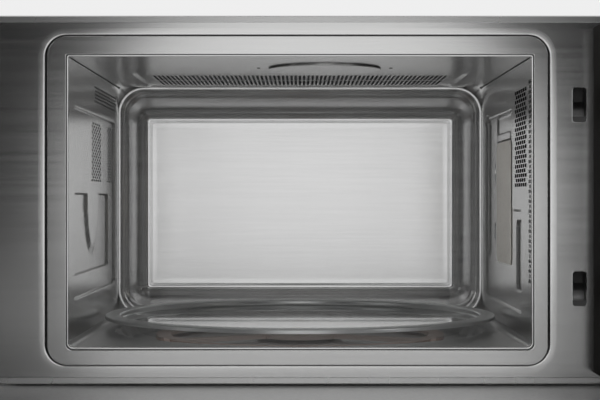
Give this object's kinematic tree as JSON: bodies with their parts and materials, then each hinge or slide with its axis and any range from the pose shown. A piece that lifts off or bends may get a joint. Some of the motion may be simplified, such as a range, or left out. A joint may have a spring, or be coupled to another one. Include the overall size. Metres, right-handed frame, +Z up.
{
  "type": "built-in microwave oven",
  "caption": "Built-in microwave oven with a side-hinged door standing open, a brushed stainless cavity, a glass turntable on a roller ring and a control panel on the right.",
  "frame": {"origin": "centre of the four trim screw holes, on the cabinet's front face", "axes": "+X to the right seen from the front, +Y into the cabinet, +Z up"},
  "size_m": [0.9002, 1.0327, 0.337],
  "materials": {
    "stainless_front": "brushed, satin",
    "stainless_cavity": "brushed, satin",
    "trim_steel": "brushed, satin",
    "mica": "matte, fibrous",
    "tray_glass": "clear, polished",
    "roller_plastic": "matte",
    "coupler_plastic": "satin",
    "galvanised": "spangled zinc",
    "black_plastic": "fine grain",
    "dark_glass": "polished",
    "pane_glass": "polished",
    "screen_steel": "satin black",
    "handle_steel": "brushed",
    "foot_rubber": "matte",
    "inner_steel": "plain",
    "core_steel": "varnished",
    "can_aluminium": "satin",
    "white_plastic": "satin",
    "lamp_glass": "clear",
    "board": "satin",
    "display": "gloss",
    "button": "satin",
    "screw_zinc": "zinc"
  },
  "bodies": {
    "chassis": {"front_plate": "stainless_front", "cavity_flange": "stainless_front", "cavity_left_wall": "stainless_cavity", "cavity_right_wall": "stainless_cavity", "cavity_ceiling": "stainless_cavity", "cavity_floor": "stainless_cavity", "cavity_back_pan": "stainless_cavity", "waveguide_cover": "mica", "ceiling_disc": "stainless_cavity", "turntable_motor": "inner_steel", "left_side_panel": "galvanised", "right_side_panel": "galvanised", "top_cover": "galvanised", "base_plate": "galvanised", "rear_panel": "galvanised", "panel_screws": "screw_zinc", "mains_gland": "black_plastic", "feet": "foot_rubber", "trim_frame": "trim_steel", "waveguide": "inner_steel", "magnetron": "inner_steel", "air_duct": "white_plastic", "hv_transformer": "core_steel", "hv_capacitor": "can_aluminium", "capacitor_clamp": "inner_steel", "fan_shroud": "white_plastic", "fan_motor": "core_steel", "lamp_holder": "inner_steel", "lamp_bulb": "lamp_glass", "interlock_bracket": "black_plastic", "interlock_switches": "black_plastic", "hinge_bracket_upper": "inner_steel", "hinge_bracket_lower": "inner_steel", "hinge_pin_upper": "inner_steel", "hinge_pin_lower": "inner_steel", "control_housing": "black_plastic", "control_glass": "dark_glass", "control_board": "board", "display_module": "display"},
    "door": {"door_frame": "black_plastic", "door_outer_glass": "dark_glass", "door_screen": "screen_steel", "door_inner_window": "pane_glass", "door_choke_cover": "black_plastic", "door_handle": "handle_steel", "handle_posts": "handle_steel", "latch_spring": "inner_steel"},
    "latch": {"latch_bar": "white_plastic"},
    "turntable": {"glass_tray": "tray_glass", "drive_coupler": "coupler_plastic"},
    "roller_ring": {"roller_ring": "roller_plastic"},
    "roller_1": {"roller_1": "roller_plastic"},
    "roller_2": {"roller_2": "roller_plastic"},
    "roller_3": {"roller_3": "roller_plastic"},
    "fan": {"fan_rotor": "white_plastic"},
    "lever_upper": {"interlock_lever_upper": "white_plastic"},
    "lever_lower": {"interlock_lever_lower": "white_plastic"},
    "stop_button": {"stop_button": "button"},
    "start_button": {"start_button": "button"}
  },
  "joints": [
    {"name": "door_hinge", "type": "hinge", "parent": "chassis", "child": "door", "pos_m": [-0.319, -0.03, -0.002], "axis": [0, 0, 1], "range_deg": [-10, 110]},
    {"name": "latch_slide", "type": "slide", "parent": "door", "child": "latch", "axis": [0, 0, 1], "range_m": [-0.007, 0], "stiffness_N_per_m": 600},
    {"name": "turntable_spin", "type": "hinge", "parent": "chassis", "child": "turntable", "pos_m": [-0.027, 0.208, -0.142], "axis": [0, 0, 1], "continuous": true},
    {"name": "roller_ring_spin", "type": "hinge", "parent": "chassis", "child": "roller_ring", "pos_m": [-0.027, 0.208, -0.1426], "axis": [0, 0, 1], "continuous": true},
    {"name": "fan_spin", "type": "hinge", "parent": "chassis", "child": "fan", "pos_m": [0.258, 0.4425, 0.026], "axis": [0, 1, 0], "continuous": true},
    {"name": "roller_1_spin", "type": "hinge", "parent": "roller_ring", "child": "roller_1", "pos_m": [-0.027, 0.365, -0.1426], "axis": [0, 1, 0], "continuous": true},
    {"name": "roller_2_spin", "type": "hinge", "parent": "roller_ring", "child": "roller_2", "pos_m": [-0.16297, 0.1295, -0.1426], "axis": [-0.866, -0.5, 0], "continuous": true},
    {"name": "roller_3_spin", "type": "hinge", "parent": "roller_ring", "child": "roller_3", "pos_m": [0.10897, 0.1295, -0.1426], "axis": [0.866, -0.5, 0], "continuous": true},
    {"name": "lever_upper_pivot", "type": "hinge", "parent": "chassis", "child": "lever_upper", "pos_m": [0.22735, 0.013, 0.099], "axis": [1, 0, 0], "range_deg": [0, 8], "stiffness_Nm_per_rad": 0.05},
    {"name": "lever_lower_pivot", "type": "hinge", "parent": "chassis", "child": "lever_lower", "pos_m": [0.22735, 0.013, -0.0684], "axis": [1, 0, 0], "range_deg": [0, 8], "stiffness_Nm_per_rad": 0.05},
    {"name": "stop_button_press", "type": "slide", "parent": "chassis", "child": "stop_button", "axis": [0, 1, 0], "range_m": [0, 0.0015], "stiffness_N_per_m": 500},
    {"name": "start_button_press", "type": "slide", "parent": "chassis", "child": "start_button", "axis": [0, 1, 0], "range_m": [0, 0.0015], "stiffness_N_per_m": 500}
  ],
  "couplings": [
    {"joint": "roller_ring_spin", "follows": "turntable_spin", "ratio": 0.5},
    {"joint": "roller_1_spin", "follows": "turntable_spin", "ratio": -15.096},
    {"joint": "roller_2_spin", "follows": "turntable_spin", "ratio": -15.096},
    {"joint": "roller_3_spin", "follows": "turntable_spin", "ratio": -15.096}
  ]
}
